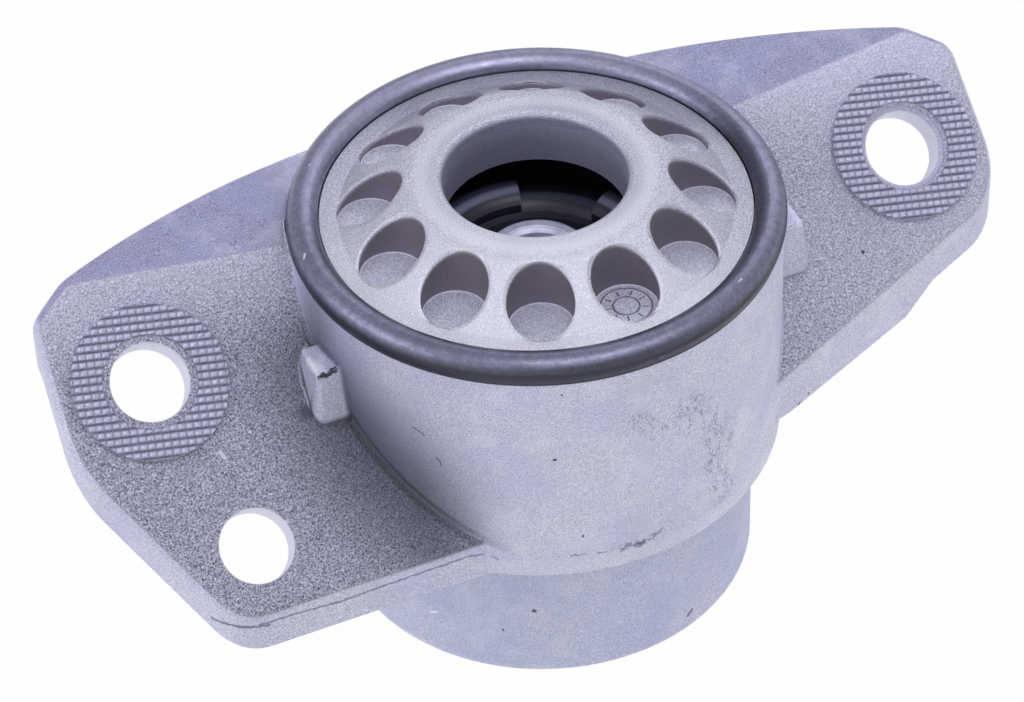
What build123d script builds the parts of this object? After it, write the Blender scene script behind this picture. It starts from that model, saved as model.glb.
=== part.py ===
"""Strut mount for the top of a shock absorber, rebuilt from one photograph.

Millimetres, +Z up along the rod. The origin is the centre of the open lower mouth of the collar.
The two bolt holes lie along X, and the face of the inclined flange looks towards -Y.
"""

import os
from math import cos, radians, sin, sqrt, tan

from build123d import *

os.makedirs("parts", exist_ok=True)

# Heights along the rod axis
BODY_Z = 23.4                # lower edge of the big cylinder, above the collar mouth
FLOOR_T = 3.8                # floor between the collar's cup and the rubber's chamber
SEAT_Z = 57.0                # step on which the cover sits
SHOULDER_T = 3.4             # thickness of the cover at its shoulder
SHOULDER_GAP = 0.6           # from the shoulder up to the centre of the lip's round
SHELF_Z = 61.1               # top behind the ridge of the flange, at the bolt holes

# Radii of the housing, from the rubber's chamber outwards and down
CHAMBER_R = 30.6
SEAT_STEP = 0.9              # width of the step on which the cover sits
POT_WALL = 3.6               # wall of the big cylinder round the chamber
COLLAR_STEP = 4.0
COLLAR_WALL = 3.2
WELL_R = 17.0                # opening in the floor, below the lower bump ring
LIP_R = 2.3                  # round of the rolled lip
LIP_PROUD = 0.4              # how far the lip stands out of the cylinder
LIP_GAP = 0.2                # between the lip's inner end and the raised part of the cover
COLLAR_EDGE = 0.7
BODY_EDGE = 0.8

# Bolt holes, pads and the third hole
BOLT_X = 57.6                # bolt hole centre from the rod axis
BOLT_R = 5.5
BOLT_EDGE = 1.2              # chamfer of the right bolt hole
PAD_R = 11.0                 # knurled pad round each bolt hole
PAD_H = 0.4
GUIDE_IN = 6.6               # third hole, from the left bolt hole towards the rod axis
GUIDE_V = -25.6              # third hole, down the face from the bolt holes
GUIDE_R = 5.2

# Inclined flange; its tips are measured along X from the bolt hole beside them
TILT = 38.6                  # degrees between the flange face and the horizontal
FACE_Z = 51.44               # where the face crosses the rod axis
PLATE_T = 4.8                # thickness square to the face
SHELF_T = 5.2
SHELF_FALL = 4.0             # degrees the shelf falls towards the cylinder
FRONT_Y = -27.3              # lower edge of the face beside the third hole
LEFT_CORNER_IN = 0.6
LEFT_TIP = (13.6, -5.6)
LEFT_BACK_OUT = 12.6
RIGHT_TIP = (12.8, -7.7)
ROOT_IN = 2.73               # how deep inside the cylinder the right lower edge ends
ROOT_ANGLE = -45.64
BACK_IN = 2.8                # how deep inside the cylinder the back edge crosses the Y axis
BACK_END_Y = 10.9            # back edge of the shelf at the right tip
CORNER_R = 8.0
TIP_R = 14.0
RIGHT_TIP_R = 9.5
BACK_TIP_R = 3.0
CREASE_R = 3.0
EDGE_R = 1.6

# Stiffening under the wings
LAP = 1.0                    # how far a joined block runs into its neighbour
WALL_T = 4.0                 # wall that hangs from the shelf's back edge
WALL_H = 10.0
RIB_IN = 14.1                # rib, from the bolt hole towards the rod axis
RIB_T = 3.6
RIB_Y = -3.0
GUSSET_Y = 5.0
GUSSET_L = 10.8
GUSSET_Z = 30.0
WEB_T = 5.0
WEB_POINTS = ((8.0, 27.6), (31.0, 31.8), (38.5, 37.5))   # along the right lower edge, height

# Locating lugs
LUG_PROUD = 4.3              # how far a lug's foot stands out of the cylinder
LUG_Y = -6.2
LUG_W = 9.4
LUG_FOOT_Z = 40.0
LUG_TOP_Z = 52.2
LUG_TAPER = 8.0
LUG_R = 2.2
LUG_EDGE = 0.6

# Cover
HUB_R = 12.8                 # mouth of the large hole
HUB_LOW = 2.3                # underside of the hub, above the seat
HUB_H = 6.0                  # top of the hub above the flat rim
HUB_FLAT_W = 2.8             # level top round the large hole
HUB_BAND_W = 3.0             # gently falling band outside it
HUB_BAND_FALL = 0.2
HUB_EDGE = 1.0               # round of the large hole
HUB_ROUND = 2.5
SKIRT_FLARE = 1.4            # underside of the hub, from its top down to the seat
RIM_H = 1.1                  # flat rim above the shoulder
RIM_W = 2.65
SHOULDER_W = 1.55
COVER_CLEAR = 0.1
POCKETS = 12
POCKET_WALL = 3.13           # between two neighbouring pockets, at their floors
POCKET_OUT = 0.1             # how far the pockets lie outside the middle of the cone
POCKET_DEPTH = 1.2           # floor below the flat rim
POCKET_DRAFT = 4.0
POCKET_ANGLE = -112.5

# Core
ROD_R = 5.25
ROD_EDGE = 0.8               # chamfer of the rod's hole
CORE_WALL = 2.15
CORE_TOP_Z = 53.0
CORE_LOW_Z = 25.0
CORE_EDGE = 0.3
PLATE_IN = 5.5               # edge of the plate inside the bush's outer ring
PLATE_LOW_Z = 38.0
PLATE_TOP_Z = 42.0

# Rubber bush
BUSH_CLEAR = 0.1
RING_T = 5.1                 # outer ring, clamped between floor and cover
BUMP_R = 16.3                # crest of the upper bump ring
BUMP_W = 6.0
CREST_H = 1.5
BUMP_FOOT = 1.0
GROOVE_Z = 46.0
DISH_Z = 49.0
VALLEY_Z = 50.8              # crest between the lobes
LOBE_H = 1.4
LOBES = 4
LOBE_ARC = 45.0
LOBE_START = 76.0
LOW_GROOVE_W = 3.0
LOW_CREST_W = 1.0
LOW_BUMP_Z = 28.4
LOW_DISH_Z = 31.0
LOW_GROOVE_Z = 34.0

floor_z = BODY_Z + FLOOR_T
shoulder_z = SEAT_Z + SHOULDER_T
lip_z = shoulder_z + SHOULDER_GAP
rim_z = shoulder_z + RIM_H
hub_top_z = rim_z + HUB_H
body_r = CHAMBER_R + POT_WALL
collar_r = body_r - COLLAR_STEP
seat_r = CHAMBER_R + SEAT_STEP
cover_edge_r = seat_r - SHOULDER_W
lip_c_r = body_r + LIP_PROUD - LIP_R
lip_in_r = cover_edge_r + LIP_GAP
slope = tan(radians(TILT))
shelf_slope = tan(radians(SHELF_FALL))
crease_y = (SHELF_Z - FACE_Z) / slope
drop = PLATE_T / cos(radians(TILT))
shelf_low_z = SHELF_Z - SHELF_T
under_y = (shelf_low_z - FACE_Z + drop) / slope
far = 2 * BOLT_X
face = Plane(origin=(0, 0, FACE_Z), x_dir=(1, 0, 0), z_dir=Vector(0, 0, 1).rotate(Axis.X, TILT))

# Corners of the flange, seen along the rod
left_corner = (LEFT_CORNER_IN - BOLT_X, FRONT_Y)
left_tip = (-BOLT_X - LEFT_TIP[0], LEFT_TIP[1])
right_tip = (BOLT_X + RIGHT_TIP[0], RIGHT_TIP[1])
root_r = body_r - ROOT_IN
right_root = (root_r * cos(radians(ROOT_ANGLE)), root_r * sin(radians(ROOT_ANGLE)))
front_root = (right_root[0] - body_r, FRONT_Y)
back_y = body_r - BACK_IN
back_depth = back_y - BACK_END_Y
back_arc_r = (right_tip[0] ** 2 + back_depth**2) / (2 * back_depth)
back_c_y = back_y - back_arc_r
left_back_x = -BOLT_X - LEFT_BACK_OUT
left_back = (left_back_x, back_c_y + sqrt(back_arc_r**2 - left_back_x**2))
right_back = (right_tip[0], BACK_END_Y)

with BuildPart() as outline:
    # Plan of the two wings, seen along the rod; it is cut back to the rod axis inside the pot
    with BuildSketch() as plan:
        with BuildLine():
            Polyline(left_back, left_tip, left_corner, front_root, (0, 0), right_root, right_tip, right_back)
            ThreePointArc(right_back, (0, back_y), left_back)
        make_face()
        fillet(plan.vertices().sort_by_distance(left_corner)[0], CORNER_R)
        fillet(plan.vertices().sort_by_distance(left_tip)[0], TIP_R)
        fillet(plan.vertices().sort_by_distance(right_tip)[0], RIGHT_TIP_R)
        fillet(plan.vertices().sort_by_distance(left_back)[0], BACK_TIP_R)
        fillet(plan.vertices().sort_by_distance(right_back)[0], BACK_TIP_R)
    extrude(amount=2 * SHELF_Z)

with BuildPart() as wings:
    # Plate and shelf, drawn from the side and run along X
    with BuildSketch(Plane.YZ):
        with BuildLine():
            Polyline(
                (-far, FACE_Z - far * slope),
                (far, FACE_Z + far * slope),
                (far, shelf_low_z),
                (under_y, shelf_low_z),
                (-far, FACE_Z - drop - far * slope),
                close=True,
            )
        make_face()
    extrude(amount=far, both=True)
    # The shelf falls a little from each bolt hole towards the cylinder
    with BuildSketch(Plane.XZ.offset(-far)):
        with BuildLine():
            Polyline(
                (0, SHELF_Z - BOLT_X * shelf_slope),
                (2 * BOLT_X, SHELF_Z + BOLT_X * shelf_slope),
                (2 * BOLT_X, 2 * SHELF_Z),
                (-2 * BOLT_X, 2 * SHELF_Z),
                (-2 * BOLT_X, SHELF_Z + BOLT_X * shelf_slope),
                close=True,
            )
        make_face()
    extrude(amount=2 * far, mode=Mode.SUBTRACT)
    add(outline.part, mode=Mode.INTERSECT)
    for sign in (-1, 1):
        fillet(wings.edges().sort_by_distance((sign * BOLT_X, crease_y, SHELF_Z))[0], CREASE_R)


def rounded_wing(keep):
    """One wing, parted from the other inside the pot, with its upper edges rounded."""
    with BuildPart() as wing:
        add(wings.part)
        split(bisect_by=Plane.YZ, keep=keep)
        upright = wing.faces().filter_by(lambda f: abs(f.normal_at().Z) < 0.1)
        walls = upright.filter_by(lambda f: Vector(f.center().X, f.center().Y).length > body_r).edges()
        tops = wing.faces().filter_by(lambda f: f.normal_at().Z > 0.5).edges()
        fillet([edge for edge in tops if edge in walls], EDGE_R)
    return wing.part


left_wing = rounded_wing(Keep.BOTTOM)
right_wing = rounded_wing(Keep.TOP)

with BuildPart() as back_wall:
    # Wall under the back edge of the shelf
    with BuildSketch(Plane.XY.offset(SHELF_Z - WALL_H)):
        add(plan.sketch)
        with Locations((0, back_c_y)):
            Circle(back_arc_r - WALL_T, mode=Mode.SUBTRACT)
    extrude(amount=WALL_H - SHELF_T + LAP)
    split(bisect_by=face.offset(-PLATE_T / 2), keep=Keep.BOTTOM)

with BuildPart() as ribs:
    # One rib across the inside of each wing, from the back wall to the plate
    with BuildSketch(Plane.YZ.offset(BOLT_X - RIB_IN)):
        with BuildLine():
            Polyline(
                (RIB_Y, FACE_Z - drop / 2 + RIB_Y * slope),
                (under_y, shelf_low_z + SHELF_T / 2),
                (back_y - 2 * WALL_T, shelf_low_z + SHELF_T / 2),
                (back_y - 2 * WALL_T, SHELF_Z - WALL_H + LAP),
                (RIB_Y, FACE_Z - drop - LAP + RIB_Y * slope),
                close=True,
            )
        make_face()
    extrude(amount=RIB_T / 2, both=True)
    # Gusset that runs out from the cylinder under the plate
    with BuildSketch(Plane.XZ.offset(-GUSSET_Y)):
        with BuildLine():
            Polyline(
                (body_r - 2 * LAP, GUSSET_Z),
                (body_r, GUSSET_Z),
                (body_r + GUSSET_L, FACE_Z - drop - LAP + GUSSET_Y * slope),
                (body_r + GUSSET_L, FACE_Z - drop / 2 + GUSSET_Y * slope),
                (body_r - 2 * LAP, FACE_Z - drop / 2 + GUSSET_Y * slope),
                close=True,
            )
        make_face()
    extrude(amount=RIB_T / 2, both=True)
    mirror(about=Plane.YZ)

edge_dir = Vector(right_tip) - Vector(right_root)
edge_plane = Plane(origin=(*right_root, 0), x_dir=edge_dir, z_dir=edge_dir.cross(Vector(0, 0, 1)))
edge_slope = slope * edge_dir.Y / edge_dir.length
edge_z = FACE_Z - drop / 2 + right_root[1] * slope

with BuildPart() as web:
    # Deeper edge of the right wing beside the cylinder
    with BuildSketch(edge_plane):
        with BuildLine():
            Polyline(
                (0, WEB_POINTS[0][1]),
                *WEB_POINTS,
                (WEB_POINTS[2][0], edge_z + WEB_POINTS[2][0] * edge_slope),
                (0, edge_z),
                close=True,
            )
        make_face()
    extrude(amount=-WEB_T)

with BuildPart() as lugs:
    # Tapered locating lugs beside the cylinder, standing on the plate
    with BuildSketch(Plane.XY.offset(LUG_FOOT_Z)):
        with Locations((0, LUG_Y)):
            RectangleRounded(2 * (body_r + LUG_PROUD), LUG_W, LUG_R)
    extrude(amount=LUG_TOP_Z - LUG_FOOT_Z, taper=LUG_TAPER)
    fillet(lugs.edges().group_by(Axis.Z)[-1], LUG_EDGE)
    split(bisect_by=face.offset(-PLATE_T / 2), keep=Keep.TOP)

with BuildPart() as housing:
    # Outer shape of the pot, turned about the rod axis
    with BuildSketch(Plane.XZ):
        with BuildLine():
            Polyline(
                (0, 0),
                (collar_r, 0),
                (collar_r, BODY_Z),
                (body_r, BODY_Z),
                (body_r, lip_z),
                (0, lip_z),
                close=True,
            )
        make_face()
    revolve(axis=Axis.Z)
    chamfer(housing.edges().group_by(Axis.Z)[0], COLLAR_EDGE)
    fillet(housing.edges().filter_by(GeomType.CIRCLE).group_by(SortBy.RADIUS)[-1].sort_by(Axis.Z)[0], BODY_EDGE)
    add(left_wing)
    add(right_wing)
    add(back_wall.part)
    add(ribs.part)
    add(web.part)
    add(lugs.part)
    with BuildSketch(Plane.XZ):
        with Locations((lip_c_r, lip_z)):
            Circle(LIP_R)
    revolve(axis=Axis.Z)
    # Knurled pads on the face
    with BuildSketch(face):
        with Locations((-BOLT_X, 0), (BOLT_X, 0)):
            Circle(PAD_R)
    extrude(amount=PAD_H)
    # Cup, well, chamber and seat, turned out of the pot
    with BuildSketch(Plane.XZ):
        with BuildLine():
            Polyline(
                (0, 0),
                (collar_r - COLLAR_WALL, 0),
                (collar_r - COLLAR_WALL, BODY_Z),
                (WELL_R, BODY_Z),
                (WELL_R, floor_z),
                (CHAMBER_R, floor_z),
                (CHAMBER_R, SEAT_Z),
                (seat_r, SEAT_Z),
                (seat_r, shoulder_z),
                (lip_in_r, shoulder_z),
                (lip_in_r, hub_top_z),
                (0, hub_top_z),
                close=True,
            )
        make_face()
    revolve(axis=Axis.Z, mode=Mode.SUBTRACT)
    # Bolt holes and the third hole, square to the face
    with BuildSketch(face.offset(PAD_H)):
        with Locations((-BOLT_X, 0), (BOLT_X, 0)):
            Circle(BOLT_R)
        with Locations((GUIDE_IN - BOLT_X, GUIDE_V)):
            Circle(GUIDE_R)
    extrude(amount=-4 * PLATE_T, mode=Mode.SUBTRACT)
    chamfer(housing.edges().filter_by(GeomType.CIRCLE).sort_by_distance((BOLT_X, 0, FACE_Z + PAD_H))[0], BOLT_EDGE)
housing.part.label = "housing"
export_step(housing.part, "parts/housing.step")

hub_flat_r = HUB_R + HUB_FLAT_W
hub_band_r = hub_flat_r + HUB_BAND_W
cone_r = cover_edge_r - RIM_W
pocket_pitch_r = (hub_band_r + cone_r) / 2 + POCKET_OUT
pocket_r = pocket_pitch_r * sin(radians(180 / POCKETS)) - POCKET_WALL / 2
pocket_floor_z = rim_z - POCKET_DEPTH

with BuildPart() as cover:
    # Hub, cone, rim and shoulder, turned about the rod axis
    with BuildSketch(Plane.XZ):
        with BuildLine():
            Polyline(
                (HUB_R, SEAT_Z + HUB_LOW),
                (HUB_R, hub_top_z),
                (hub_flat_r, hub_top_z),
                (hub_band_r, hub_top_z - HUB_BAND_FALL),
                (cone_r, rim_z),
                (cover_edge_r, rim_z),
                (cover_edge_r, shoulder_z),
                (seat_r - COVER_CLEAR, shoulder_z),
                (seat_r - COVER_CLEAR, SEAT_Z),
                (hub_flat_r + SKIRT_FLARE, SEAT_Z),
                (hub_flat_r, SEAT_Z + HUB_LOW),
                close=True,
            )
        make_face()
    revolve(axis=Axis.Z)
    rings = cover.edges().filter_by(GeomType.CIRCLE)
    fillet(rings.sort_by_distance((HUB_R, 0, hub_top_z))[0], HUB_EDGE)
    fillet(rings.sort_by_distance((hub_band_r, 0, hub_top_z - HUB_BAND_FALL))[0], HUB_ROUND)
    # Round pockets with level floors
    with BuildSketch(Plane.XY.offset(pocket_floor_z)):
        with PolarLocations(pocket_pitch_r, POCKETS, POCKET_ANGLE):
            Circle(pocket_r)
    extrude(amount=hub_top_z - pocket_floor_z, taper=-POCKET_DRAFT, mode=Mode.SUBTRACT)
cover.part.label = "cover"
export_step(cover.part, "parts/cover.step")

core_r = ROD_R + CORE_WALL
bush_r = CHAMBER_R - BUSH_CLEAR
ring_in_r = CHAMBER_R - RING_T
plate_r = ring_in_r - PLATE_IN

with BuildPart() as core:
    # Rod sleeve with the plate that the rubber holds
    with BuildSketch(Plane.XZ):
        with BuildLine():
            Polyline(
                (ROD_R, CORE_LOW_Z),
                (core_r, CORE_LOW_Z),
                (core_r, PLATE_LOW_Z),
                (plate_r, PLATE_LOW_Z),
                (plate_r, PLATE_TOP_Z),
                (core_r, PLATE_TOP_Z),
                (core_r, CORE_TOP_Z),
                (ROD_R, CORE_TOP_Z),
                close=True,
            )
        make_face()
    revolve(axis=Axis.Z)
    ends = core.edges().filter_by(GeomType.CIRCLE)
    for end in (ends.group_by(Axis.Z)[0], ends.group_by(Axis.Z)[-1]):
        chamfer(end.sort_by(SortBy.RADIUS)[-1], CORE_EDGE)
        chamfer(end.sort_by(SortBy.RADIUS)[0], ROD_EDGE)
core.part.label = "core"
export_step(core.part, "parts/core.step")

bump_in = BUMP_R - BUMP_W / 2
bump_out = BUMP_R + BUMP_W / 2
low_out = ring_in_r - LOW_GROOVE_W
low_in = low_out - BUMP_W
low_bump_r = low_out - BUMP_W / 2
valley_foot_z = VALLEY_Z - CREST_H
lobe_foot_z = valley_foot_z + LOBE_H

with BuildPart() as bush:
    # Outer ring, web round the core's plate and two bump rings, turned about the rod axis
    with BuildSketch(Plane.XZ):
        with BuildLine():
            Polyline(
                (low_in, LOW_DISH_Z),
                (low_bump_r - LOW_CREST_W / 2, LOW_BUMP_Z),
                (low_bump_r + LOW_CREST_W / 2, LOW_BUMP_Z),
                (low_out, LOW_DISH_Z),
                (low_out, LOW_GROOVE_Z),
                (ring_in_r, LOW_GROOVE_Z),
                (ring_in_r, floor_z),
                (bush_r, floor_z),
                (bush_r, SEAT_Z),
                (ring_in_r, SEAT_Z),
                (ring_in_r, GROOVE_Z),
                (bump_out + BUMP_FOOT, GROOVE_Z),
                (bump_out, valley_foot_z),
            )
            ThreePointArc((bump_out, valley_foot_z), (BUMP_R, VALLEY_Z), (bump_in, valley_foot_z))
            Polyline(
                (bump_in, valley_foot_z),
                (bump_in - BUMP_FOOT, DISH_Z),
                (core_r, DISH_Z),
                (core_r, LOW_DISH_Z),
                (low_in, LOW_DISH_Z),
            )
        make_face()
    revolve(axis=Axis.Z)
    # Raised lobes on the upper bump ring
    for n in range(LOBES):
        turn = radians(LOBE_START + n * 360 / LOBES)
        side = Plane(origin=(0, 0, 0), x_dir=(cos(turn), sin(turn), 0), z_dir=(sin(turn), -cos(turn), 0))
        with BuildSketch(side):
            with BuildLine():
                Polyline((bump_out, lobe_foot_z), (bump_out, DISH_Z), (bump_in, DISH_Z), (bump_in, lobe_foot_z))
                ThreePointArc((bump_in, lobe_foot_z), (BUMP_R, VALLEY_Z + LOBE_H), (bump_out, lobe_foot_z))
            make_face()
        revolve(axis=Axis.Z, revolution_arc=LOBE_ARC)
    add(core.part, mode=Mode.SUBTRACT)
bush.part.label = "bush"
export_step(bush.part, "parts/bush.step")
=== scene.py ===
"""Looks of the strut mount: cast housing, pocketed cover, rubber bush and turned core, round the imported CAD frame."""

import logging
import math
from dataclasses import dataclass
from enum import Enum
from typing import Any

import bpy
import numpy as np
from mathutils import Matrix


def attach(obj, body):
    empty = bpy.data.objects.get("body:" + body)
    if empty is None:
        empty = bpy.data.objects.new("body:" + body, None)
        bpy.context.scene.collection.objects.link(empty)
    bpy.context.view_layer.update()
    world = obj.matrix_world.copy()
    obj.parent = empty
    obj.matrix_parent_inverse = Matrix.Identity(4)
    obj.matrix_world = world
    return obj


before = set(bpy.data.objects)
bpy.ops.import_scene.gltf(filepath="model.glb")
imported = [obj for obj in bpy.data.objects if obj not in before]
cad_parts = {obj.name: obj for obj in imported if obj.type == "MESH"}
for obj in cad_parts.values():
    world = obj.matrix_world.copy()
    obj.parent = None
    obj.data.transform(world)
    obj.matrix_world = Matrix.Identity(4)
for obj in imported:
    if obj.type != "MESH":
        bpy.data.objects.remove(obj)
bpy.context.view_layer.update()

log = logging.getLogger("strut_mount")

MM = 0.001                       # one millimetre in Blender's metres
TAU = 2 * math.pi
Point = tuple[float, float, float]

# Sizes that the pieces share with the part, in millimetres
TILT = math.radians(38.6)        # flange face against the horizontal
FACE_Z = 51.44                   # where the flange face crosses the rod axis
FACE_ORIGIN = np.array([0.0, 0.0, FACE_Z])
FACE_NORMAL = np.array([0.0, -math.sin(TILT), math.cos(TILT)])
FACE_UP = np.array([0.0, math.cos(TILT), math.sin(TILT)])
BODY_R = 34.2
BODY_Z = 23.4
COLLAR_R = 30.2
LIP_PITCH_R = 32.3
LIP_Z = 61.0
LIP_R = 2.3
BOLT_X = 57.6
BOLT_R = 5.5
PAD_H = 0.4
GUIDE_U = -51.0                  # third hole, measured along the flange face
GUIDE_V = -25.6
GUIDE_R = 5.2
HOLES = ((-BOLT_X, 0.0, BOLT_R), (BOLT_X, 0.0, BOLT_R), (GUIDE_U, GUIDE_V, GUIDE_R))
POCKETS = 12
POCKET_PITCH_R = 23.05
POCKET_FLOOR_R = 4.4
POCKET_FLOOR_Z = 60.3
POCKET_DRAFT = math.tan(math.radians(4.0))
POCKET_TURN = math.radians(-112.5)
CONE_R = 18.6                    # inner end of the cover's cone
CONE_Z = 67.3
CONE_FALL = 0.667
BORE_R = 12.8
REARWARD = np.array([0.45, 0.89, 0.0])   # level direction from the photographed side to the far side


class Slot(Enum):
    """Material slots of the record that new pieces take their finish from."""

    HOUSING = "cast_housing"
    COVER = "cast_cover"


class Side(Enum):
    """Which wing of the flange a piece belongs to."""

    LEFT = -1
    RIGHT = 1


# Turn about the rod axis, in degrees, over which the face of each wing meets the pot
FACE_SPAN = {Side.LEFT: (159.5, 232.5), Side.RIGHT: (-37.5, 20.5)}


def linear(hex_colour: str) -> tuple[float, float, float, float]:
    """Turn an sRGB hex colour into linear light.

    Args:
        hex_colour: Colour as "#RRGGBB".

    Returns:
        Linear red, green and blue, with an alpha of 1.
    """
    channels = [int(hex_colour[i:i + 2], 16) / 255 for i in (1, 3, 5)]
    red, green, blue = (c / 12.92 if c <= 0.04045 else ((c + 0.055) / 1.055) ** 2.4 for c in channels)
    return red, green, blue, 1.0


def add(tree: bpy.types.NodeTree, kind: str, inputs: Any = (), out: Any = 0, **settings: Any) -> Any:
    """Add one node with its settings and links.

    Args:
        tree: Node tree that gets the node.
        kind: The node's type.
        inputs: Values or sockets, as a list in the order of the inputs or by name or number.
        out: Output that is handed back.
        **settings: The node's own properties.

    Returns:
        The chosen output socket, or the node if it has none.
    """
    node = tree.nodes.new(kind)
    for name, value in settings.items():
        setattr(node, name, value)
    for key, value in inputs.items() if isinstance(inputs, dict) else enumerate(inputs):
        if isinstance(value, bpy.types.NodeSocket):
            tree.links.new(value, node.inputs[key])
        elif value is not None:
            node.inputs[key].default_value = value
    return node.outputs[out] if node.outputs else node


class Coat:
    """Colour, roughness and height of one surface, laid on in layers over the piece's own millimetres."""

    def __init__(self, name: str, colour: str, rough: float) -> None:
        """Start a material.

        Args:
            name: What the real material is.
            colour: Ground colour, sRGB hex.
            rough: Ground roughness.
        """
        self.material = bpy.data.materials.new(name)
        self.material.use_nodes = True
        self.tree = self.material.node_tree
        self.tree.nodes.clear()
        self.colour: Any = linear(colour)
        self.rough: Any = rough
        self.height: Any = 0.0
        metres = add(self.tree, "ShaderNodeTexCoord", out="Object")
        self.place = add(self.tree, "ShaderNodeVectorMath", {0: metres, "Scale": 1 / MM}, operation="SCALE")
        flat = add(self.tree, "ShaderNodeVectorMath", [self.place, (1.0, 1.0, 0.0)], operation="MULTIPLY")
        self.radius = add(self.tree, "ShaderNodeVectorMath", [flat], out="Value", operation="LENGTH")
        self.across, self.rear, self.level = add(self.tree, "ShaderNodeSeparateXYZ", [self.place]).node.outputs
        self.profile = add(self.tree, "ShaderNodeCombineXYZ", [self.radius, 0.0, self.level])
        # Random shift about zero, which all wandering marks share; a shader holds only so many values at once
        cloud = add(self.tree, "ShaderNodeTexNoise", {"Vector": self.place, "Scale": 1.3, "Detail": 3.0}, out="Color")
        parts = add(self.tree, "ShaderNodeSeparateColor", [cloud]).node.outputs
        drift = add(self.tree, "ShaderNodeCombineXYZ", list(parts))
        self.sway = add(self.tree, "ShaderNodeVectorMath", [drift, (0.5, 0.5, 0.5)], operation="SUBTRACT")

    def lay(self, mask: Any, colour: str | None = None, rough: float | None = None, height: float = 0.0) -> None:
        """Lay one layer over what is there.

        Args:
            mask: Where the layer lies, from 0 to 1.
            colour: Its colour, sRGB hex, if it changes the colour.
            rough: Its roughness, if it changes the roughness.
            height: How far it stands up, in millimetres, below zero for a dent.
        """
        if colour:
            self.colour = add(
                self.tree, "ShaderNodeMix", {0: mask, 6: self.colour, 7: linear(colour)}, out=2, data_type="RGBA"
            )
        if rough is not None:
            self.rough = add(self.tree, "ShaderNodeMix", {0: mask, 2: self.rough, 3: rough}, data_type="FLOAT")
        if height:
            self.height = add(self.tree, "ShaderNodeMath", [mask, height, self.height], operation="MULTIPLY_ADD")

    def both(self, *masks: Any) -> Any:
        """Mask of where all of some masks are.

        Args:
            *masks: The masks' sockets.

        Returns:
            Their product.
        """
        product = masks[0]
        for mask in masks[1:]:
            product = add(self.tree, "ShaderNodeMath", [product, mask], operation="MULTIPLY")
        return product

    def within(self, value: Any, full: float, none: float, top: float = 1.0) -> Any:
        """Mask that is top where value is at full, and fades to 0 at none."""
        return add(self.tree, "ShaderNodeMapRange", [value, none, full, 0.0, top], interpolation_type="SMOOTHSTEP")

    def mottle(
        self, grain: float, full: float, none: float, detail: float = 2.0, top: float = 1.0,
        stretch: Point = (1.0, 1.0, 1.0), place: Any = None,
    ) -> Any:
        """Mask of irregular grains.

        Args:
            grain: Size of a grain in millimetres.
            full: Noise level at which the mask is full.
            none: Noise level at which it has gone.
            detail: Octaves of finer noise.
            top: The mask's highest value.
            stretch: How much longer the grains are along each axis.
            place: Coordinates to use instead of the piece's own.

        Returns:
            The mask's socket.
        """
        where = place or self.place
        if stretch != (1.0, 1.0, 1.0):
            where = add(self.tree, "ShaderNodeVectorMath", [where, tuple(1 / s for s in stretch)], operation="MULTIPLY")
        cloud = add(self.tree, "ShaderNodeTexNoise", {"Vector": where, "Scale": 1 / grain, "Detail": detail})
        return self.within(cloud, full, none, top)

    def grain(self, size: float, place: Any = None) -> Any:
        """Even, unbroken grain of the given size in millimetres, from 0 to 1."""
        cloud = add(
            self.tree, "ShaderNodeTexNoise", {"Vector": place or self.place, "Scale": 1 / size, "Detail": 1.0}
        )
        return add(self.tree, "ShaderNodeMapRange", [cloud, 0.2, 0.8, 0.0, 1.0])

    def plane(self, point: np.ndarray, normal: np.ndarray) -> Any:
        """Signed distance in millimetres from a plane."""
        away = add(self.tree, "ShaderNodeVectorMath", [self.place, tuple(point)], operation="SUBTRACT")
        return add(self.tree, "ShaderNodeVectorMath", [away, tuple(normal)], out="Value", operation="DOT_PRODUCT")

    def line(self, start: Point, end: Point, place: Any = None) -> Any:
        """Distance in millimetres from a straight line between two points.

        The nearest point is start + t (end - start), with t the foot's share of the line, held from 0 to 1.

        Args:
            start: One end of the line.
            end: Its other end, which may be the same point.
            place: Coordinates to use instead of the piece's own.

        Returns:
            The distance's socket.
        """
        along = np.subtract(end, start).astype(float)
        share = tuple(along / max(float(along @ along), 1e-9))
        away = add(self.tree, "ShaderNodeVectorMath", [place or self.place, start], operation="SUBTRACT")
        foot = add(self.tree, "ShaderNodeVectorMath", [away, share], out="Value", operation="DOT_PRODUCT")
        held = add(self.tree, "ShaderNodeMath", [foot, 0.0], operation="ADD", use_clamp=True)
        near = add(self.tree, "ShaderNodeVectorMath", {0: tuple(along), "Scale": held}, operation="SCALE")
        return add(self.tree, "ShaderNodeVectorMath", [away, near], out="Value", operation="DISTANCE")

    def path(self, points: tuple[Point, ...], wander: float = 0.0) -> Any:
        """Distance in millimetres from a chain of points.

        Args:
            points: The chain, or a single point.
            wander: How far its edge strays, in millimetres.

        Returns:
            The distance's socket.
        """
        place = self.place
        if wander:
            place = add(
                self.tree, "ShaderNodeVectorMath", [self.sway, (4 * wander,) * 3, self.place], operation="MULTIPLY_ADD"
            )
        pairs = list(zip(points, points[1:])) or [(points[0], points[0])]
        nearest = self.line(*pairs[0], place)
        for pair in pairs[1:]:
            nearest = add(self.tree, "ShaderNodeMath", [nearest, self.line(*pair, place)], operation="MINIMUM")
        return nearest

    def ring(self, radius: float, level: float) -> Any:
        """Distance in millimetres from a circle about the rod axis."""
        return add(
            self.tree, "ShaderNodeVectorMath", [self.profile, (radius, 0.0, level)], out="Value", operation="DISTANCE"
        )

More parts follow.
